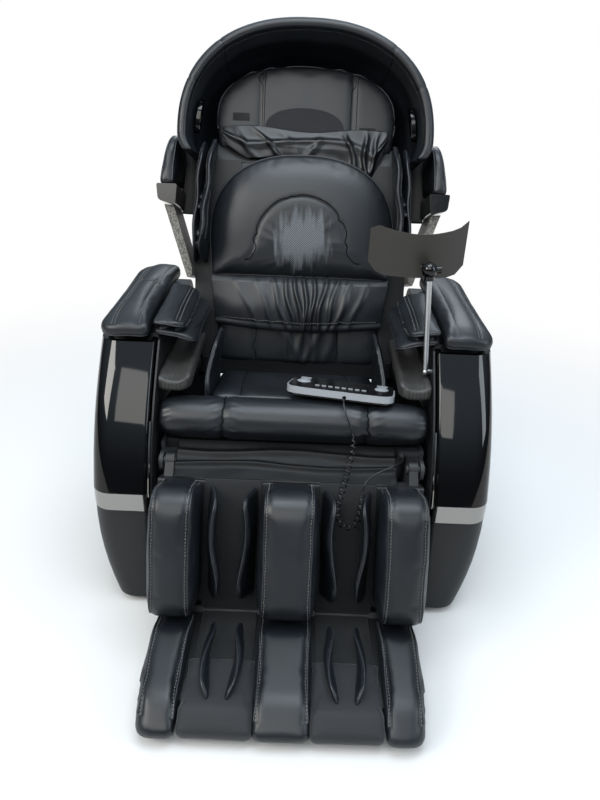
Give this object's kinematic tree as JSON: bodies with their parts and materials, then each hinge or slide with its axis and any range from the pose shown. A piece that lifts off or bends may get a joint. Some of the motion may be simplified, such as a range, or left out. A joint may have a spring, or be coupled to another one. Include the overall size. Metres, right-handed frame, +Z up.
{
  "type": "massage chair",
  "caption": "Full-body massage chair: reclining hooded back with travelling rollers, padded arms, lifting calf rest, sliding foot rest and a wired remote.",
  "frame": {"origin": "on the floor, under the middle of the chair's bounding box", "axes": "+Z up, +Y from the feet towards the back of the chair, +X to the sitter's left"},
  "size_m": [0.9, 1.1962, 1.2672],
  "materials": {
    "rail_steel": "powder-coated dark grey steel",
    "matte_black": "fine-textured black moulding",
    "gloss_black": "piano-black moulding",
    "bright_band": "bright plated moulding",
    "tyre_rubber": "smooth black rubber",
    "machine_grey": "grey moulding",
    "roller_plastic": "light grey hard moulding",
    "black_leather": "black synthetic leather with a soft sheen",
    "bed_fabric": "grey perforated cloth",
    "apron_cloth": "black woven cloth",
    "mast_steel": "bright drawn tube",
    "knuckle_plastic": "black moulding",
    "holder_plastic": "grey-brown moulding",
    "speckled_plastic": "grey moulding with dark speckles",
    "silver_plastic": "silver-lacquered moulding",
    "cord_plastic": "black cord sheath"
  },
  "bodies": {
    "base": {"base_rails": "rail_steel", "base_crossbars": "rail_steel", "base_feet": "matte_black", "control_box": "matte_black", "air_pump": "machine_grey", "skirts": "matte_black", "chrome_bands": "bright_band", "arm_front_left": "gloss_black", "arm_front_right": "gloss_black", "arm_side_left": "matte_black", "arm_side_right": "matte_black", "arm_cushion_left": "black_leather", "arm_cushion_right": "black_leather", "forearm_cell_left": "black_leather", "forearm_cell_right": "black_leather", "forearm_beds": "bed_fabric", "seat_frame": "rail_steel", "seat_cushion": "black_leather", "seat_bolster": "black_leather", "hip_cells": "black_leather", "knee_apron": "apron_cloth", "cord_relief": "cord_plastic", "cord_lead": "cord_plastic", "cord_coil": "cord_plastic", "cord_tail": "cord_plastic", "actuators": "rail_steel"},
    "switch": {"power_switch": "gloss_black"},
    "wheel_left": {"rear_wheel_left": "tyre_rubber"},
    "wheel_right": {"rear_wheel_right": "tyre_rubber"},
    "mast": {"stand_mast": "mast_steel"},
    "knuckle": {"stand_knuckle": "knuckle_plastic"},
    "plate": {"stand_plate": "holder_plastic"},
    "remote": {"remote_case": "knuckle_plastic", "remote_bezel": "silver_plastic"},
    "ring_left": {"remote_ring_left": "silver_plastic"},
    "ring_right": {"remote_ring_right": "silver_plastic"},
    "power_key": {"remote_power_key": "silver_plastic"},
    "pause_key": {"remote_pause_key": "silver_plastic"},
    "key_row": {"remote_key_row": "silver_plastic"},
    "back": {"back_frame": "rail_steel", "back_shell": "matte_black", "back_pad": "black_leather", "lumbar_drape": "black_leather", "head_panel": "black_leather", "hood": "black_leather", "hood_speakers": "gloss_black", "wing_left": "black_leather", "wing_right": "black_leather", "wing_struts": "speckled_plastic", "shoulder_cells_left": "black_leather", "shoulder_cells_right": "black_leather"},
    "carriage": {"roller_carriage": "machine_grey"},
    "knead_left": {"roller_arm_left": "roller_plastic"},
    "knead_right": {"roller_arm_right": "roller_plastic"},
    "legrest": {"calf_shell": "matte_black", "calf_pads": "black_leather", "calf_cells": "black_leather"},
    "footrest": {"foot_shell": "matte_black", "foot_pads": "black_leather", "foot_cells": "black_leather"}
  },
  "joints": [
    {"name": "power_rocker", "type": "hinge", "parent": "base", "child": "switch", "pos_m": [0.046, 0.479, 0.087], "axis": [1, 0, 0], "range_deg": [-8, 8]},
    {"name": "wheel_left_spin", "type": "hinge", "parent": "base", "child": "wheel_left", "pos_m": [0.214, 0.521, 0.039], "axis": [1, 0, 0], "continuous": true},
    {"name": "wheel_right_spin", "type": "hinge", "parent": "base", "child": "wheel_right", "pos_m": [-0.214, 0.521, 0.039], "axis": [1, 0, 0], "continuous": true},
    {"name": "mast_swing", "type": "hinge", "parent": "base", "child": "mast", "pos_m": [0.312, -0.021, 0.536], "axis": [1, 0, 0], "range_deg": [0, 75]},
    {"name": "knuckle_turn", "type": "hinge", "parent": "mast", "child": "knuckle", "pos_m": [0.27834, -0.021, 0.7721], "axis": [-0.0872, 0, 0.9962], "range_deg": [-30, 30]},
    {"name": "plate_tilt", "type": "hinge", "parent": "knuckle", "child": "plate", "pos_m": [0.27834, 0.011, 0.7721], "axis": [0.9962, 0, 0.0872], "range_deg": [-25, 25]},
    {"name": "remote_lift", "type": "slide", "parent": "base", "child": "remote", "axis": [0, 0, 1], "range_m": [0, 0.12], "deforming": ["cord_lead"]},
    {"name": "ring_left_press", "type": "slide", "parent": "remote", "child": "ring_left", "axis": [-0.0397, -0.2041, -0.9781], "range_m": [0, 0.0008], "stiffness_N_per_m": 120, "springref_m": -0.0004},
    {"name": "ring_right_press", "type": "slide", "parent": "remote", "child": "ring_right", "axis": [-0.0397, -0.2041, -0.9781], "range_m": [0, 0.0008], "stiffness_N_per_m": 120, "springref_m": -0.0004},
    {"name": "power_press", "type": "slide", "parent": "remote", "child": "power_key", "axis": [-0.0397, -0.2041, -0.9781], "range_m": [0, 0.0008], "stiffness_N_per_m": 120, "springref_m": -0.0004},
    {"name": "pause_press", "type": "slide", "parent": "remote", "child": "pause_key", "axis": [-0.0397, -0.2041, -0.9781], "range_m": [0, 0.0008], "stiffness_N_per_m": 120, "springref_m": -0.0004},
    {"name": "key_row_press", "type": "slide", "parent": "remote", "child": "key_row", "axis": [-0.0397, -0.2041, -0.9781], "range_m": [0, 0.0008], "stiffness_N_per_m": 120, "springref_m": -0.0004},
    {"name": "recline", "type": "hinge", "parent": "base", "child": "back", "pos_m": [0, 0.253, 0.37], "axis": [-1, 0, 0], "range_deg": [0, 45]},
    {"name": "roller_travel", "type": "slide", "parent": "back", "child": "carriage", "axis": [0, 0.2874, 0.9578], "range_m": [-0.085, 0.24]},
    {"name": "knead_left_rock", "type": "hinge", "parent": "carriage", "child": "knead_left", "pos_m": [0, 0.39867, 0.5749], "axis": [1, 0, 0], "range_deg": [-5, 5]},
    {"name": "knead_right_rock", "type": "hinge", "parent": "carriage", "child": "knead_right", "pos_m": [0, 0.39867, 0.5749], "axis": [1, 0, 0], "range_deg": [-5, 5]},
    {"name": "legrest_lift", "type": "hinge", "parent": "base", "child": "legrest", "pos_m": [0, -0.127, 0.335], "axis": [-1, 0, 0], "range_deg": [0, 75], "deforming": ["cord_coil", "cord_tail", "knee_apron"]},
    {"name": "foot_extend", "type": "slide", "parent": "legrest", "child": "footrest", "axis": [0, -0.3584, -0.9336], "range_m": [0, 0.12]}
  ],
  "couplings": [
    {"joint": "knead_right_rock", "follows": "knead_left_rock", "ratio": -1},
    {"joint": "foot_extend", "follows": "legrest_lift", "m_per_rad": 0.0915}
  ]
}
